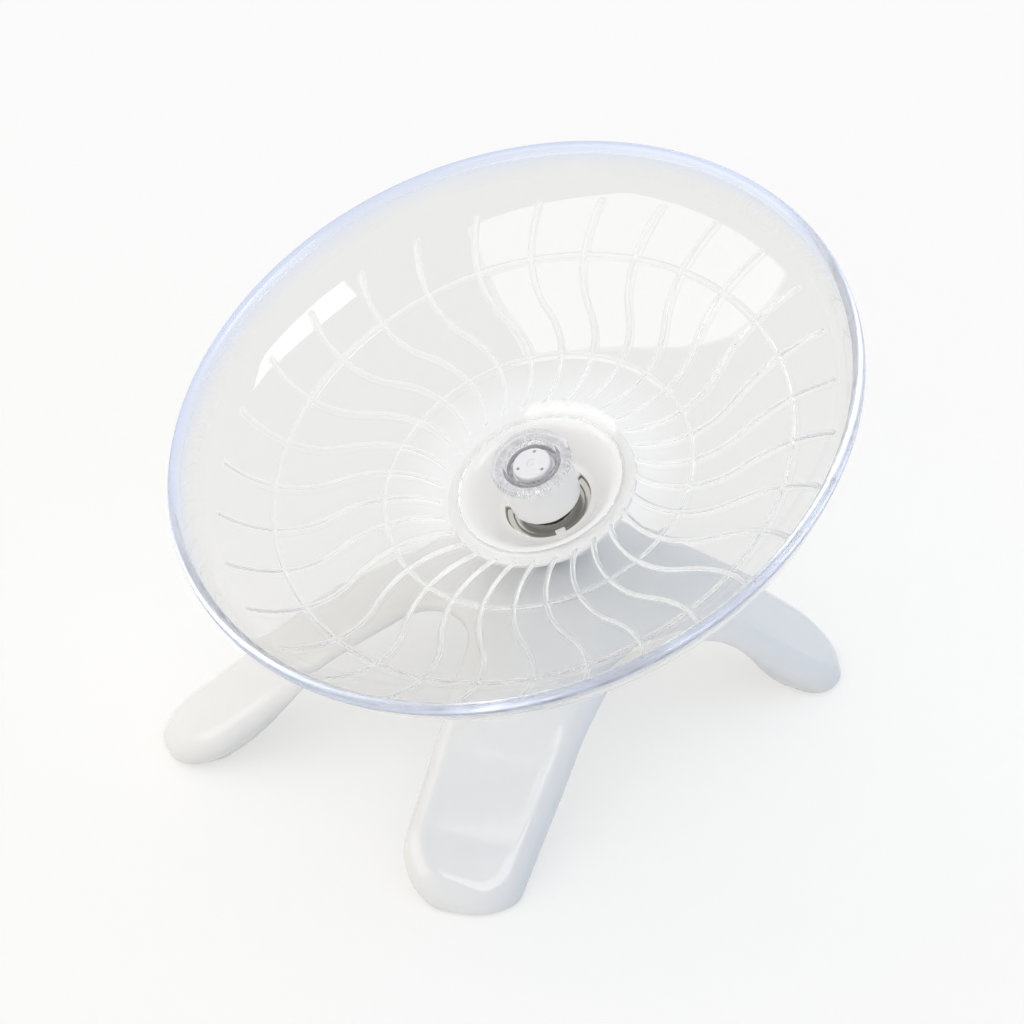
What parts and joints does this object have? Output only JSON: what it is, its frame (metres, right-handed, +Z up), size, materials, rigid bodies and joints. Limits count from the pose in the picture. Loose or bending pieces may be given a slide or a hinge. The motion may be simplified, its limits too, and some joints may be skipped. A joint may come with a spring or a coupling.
{
  "type": "hamster saucer wheel",
  "caption": "Clear running saucer with S-shaped grip ribs, leaning forward and spinning freely on a ball bearing, carried by a rounded white stand with four legs.",
  "frame": {"origin": "on the floor, straight below the middle of the saucer's rim", "axes": "+Z up; the saucer leans towards -Y, the front; +X is the right-hand side seen from above with the front at the bottom"},
  "size_m": [0.176, 0.1622, 0.1204],
  "materials": {
    "clear_plastic": "clear, glossy",
    "white_plastic": "glossy white",
    "clear_cap": "clear with a lavender tint, glossy",
    "bearing_steel": "ground and polished steel",
    "shield_steel": "pressed steel",
    "ball_steel": "polished steel",
    "cage_nylon": "moulded nylon",
    "zinc_steel": "zinc-plated steel",
    "pad_rubber": "matt"
  },
  "bodies": {
    "stand_body": {"stand": "white_plastic", "pad_front_left": "pad_rubber", "pad_front_right": "pad_rubber", "pad_rear_left": "pad_rubber", "pad_rear_right": "pad_rubber", "spindle": "zinc_steel", "thrust_washer": "zinc_steel", "bearing_inner_race": "bearing_steel", "sleeve": "white_plastic", "cap": "clear_cap", "screw_washer": "white_plastic", "cap_screw": "white_plastic", "nut_washer": "zinc_steel", "spindle_nut": "zinc_steel"},
    "dish_body": {"dish": "clear_plastic", "hub_housing": "white_plastic", "bearing_outer_race": "bearing_steel", "bearing_shield_upper": "shield_steel", "bearing_shield_lower": "shield_steel"},
    "cage_body": {"bearing_cage": "cage_nylon", "ball_1": "ball_steel", "ball_2": "ball_steel", "ball_3": "ball_steel", "ball_4": "ball_steel", "ball_5": "ball_steel", "ball_6": "ball_steel", "ball_7": "ball_steel"}
  },
  "joints": [
    {"name": "dish_spin", "type": "hinge", "parent": "stand_body", "child": "dish_body", "pos_m": [0, 0.01348, 0.05324], "axis": [0, -0.3907, 0.9205], "continuous": true},
    {"name": "ball_cage_spin", "type": "hinge", "parent": "stand_body", "child": "cage_body", "pos_m": [0, 0.01348, 0.05324], "axis": [0, -0.3907, 0.9205], "continuous": true}
  ],
  "couplings": [
    {"joint": "ball_cage_spin", "follows": "dish_spin", "ratio": 0.6323}
  ]
}
